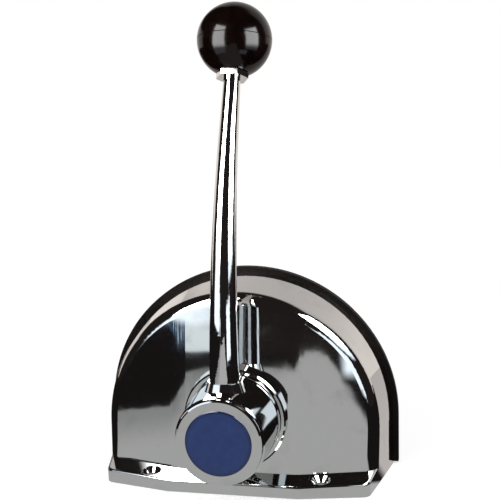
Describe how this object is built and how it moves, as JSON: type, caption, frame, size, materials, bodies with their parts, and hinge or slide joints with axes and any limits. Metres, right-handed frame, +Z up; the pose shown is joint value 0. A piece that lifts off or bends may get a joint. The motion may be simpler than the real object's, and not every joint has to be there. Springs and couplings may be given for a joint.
{
  "type": "boat throttle control lever",
  "caption": "Top-mount marine control: a half-round chromed housing with a swinging lever, round hub cap and black ball knob, geared inside to throttle and shift cable arms.",
  "frame": {"origin": "on the deck plane under the lever shaft's axis, midway along the footprint's depth", "axes": "+X to the right as seen from the lever side, +Y away from the helmsman through the housing, +Z up"},
  "size_m": [0.189, 0.0988, 0.2903],
  "materials": {
    "casting_chrome": "polished, chrome plated zinc casting",
    "lever_chrome": "polished, chrome plated steel",
    "hub_chrome": "polished, chrome plated",
    "cover_plastic": "moulded, semi-matt black",
    "knob_phenolic": "glossy black moulding",
    "badge_blue": "glossy, domed clear face over blue",
    "plated_steel": "zinc plated",
    "ground_steel": "ground",
    "gear_steel": "hobbed and oiled",
    "bronze": "sintered bronze",
    "brass": "turned brass",
    "acetal": "natural acetal",
    "clamp_aluminium": "cast"
  },
  "bodies": {
    "housing": {"housing_shell": "casting_chrome", "back_cover": "cover_plastic", "back_cover_screws": "plated_steel", "front_frame_plate": "plated_steel", "rear_frame_plate": "plated_steel", "frame_posts": "plated_steel", "frame_screws": "plated_steel", "collar_guide_pin": "ground_steel", "front_bush": "bronze", "rear_bush": "bronze", "thrust_washer": "acetal", "throttle_rocker_pivot_pin": "ground_steel", "shift_rocker_pivot_pin": "ground_steel", "pivot_pin_clips": "plated_steel", "throttle_conduit_saddle": "clamp_aluminium", "throttle_conduit_strap": "clamp_aluminium", "shift_conduit_saddle": "clamp_aluminium", "shift_conduit_strap": "clamp_aluminium", "conduit_strap_screws": "plated_steel", "detent_plunger_body": "plated_steel", "detent_ball": "ground_steel", "detent_lock_nut": "plated_steel", "detent_spring": "ground_steel", "return_spring": "ground_steel", "friction_liner": "acetal", "friction_clamp": "clamp_aluminium", "friction_screw": "plated_steel"},
    "release_collar": {"release_collar": "plated_steel"},
    "lever": {"main_shaft": "ground_steel", "pinion_pin": "ground_steel", "drive_pinion": "gear_steel", "lever_hub": "hub_chrome", "hub_washer": "plated_steel", "hub_screw": "plated_steel", "hub_cap": "hub_chrome", "badge_disc": "badge_blue", "lever_rod": "lever_chrome", "knob_lock_nut": "lever_chrome", "knob": "knob_phenolic", "knob_insert": "brass"},
    "throttle_rocker": {"throttle_rocker": "gear_steel", "throttle_rocker_bush": "bronze"},
    "shift_rocker": {"shift_rocker": "gear_steel", "shift_rocker_bush": "bronze"},
    "throttle_swivel": {"throttle_cable_swivel": "brass", "throttle_swivel_clip": "plated_steel"},
    "shift_swivel": {"shift_cable_swivel": "brass", "shift_swivel_clip": "plated_steel"}
  },
  "joints": [
    {"name": "neutral_pull", "type": "slide", "parent": "housing", "child": "release_collar", "axis": [0, -1, 0], "range_m": [0, 0.005], "stiffness_N_per_m": 3000, "springref_m": -0.004, "deforming": ["return_spring"]},
    {"name": "lever_swing", "type": "hinge", "parent": "release_collar", "child": "lever", "pos_m": [0, 0, 0.0428], "axis": [0, 1, 0], "range_deg": [-80, 80]},
    {"name": "throttle_rocker_swing", "type": "hinge", "parent": "housing", "child": "throttle_rocker", "pos_m": [0.036, 0, 0.0428], "axis": [0, 1, 0], "range_deg": [-40, 40]},
    {"name": "shift_rocker_swing", "type": "hinge", "parent": "housing", "child": "shift_rocker", "pos_m": [-0.036, 0, 0.0428], "axis": [0, 1, 0], "range_deg": [-40, 40]},
    {"name": "throttle_swivel_turn", "type": "hinge", "parent": "throttle_rocker", "child": "throttle_swivel", "pos_m": [0.066, 0, 0.0428], "axis": [0, 1, 0], "continuous": true},
    {"name": "shift_swivel_turn", "type": "hinge", "parent": "shift_rocker", "child": "shift_swivel", "pos_m": [-0.066, 0, 0.0428], "axis": [0, 1, 0], "continuous": true}
  ],
  "couplings": [
    {"joint": "throttle_rocker_swing", "follows": "lever_swing", "ratio": -0.5},
    {"joint": "shift_rocker_swing", "follows": "lever_swing", "ratio": -0.5}
  ]
}
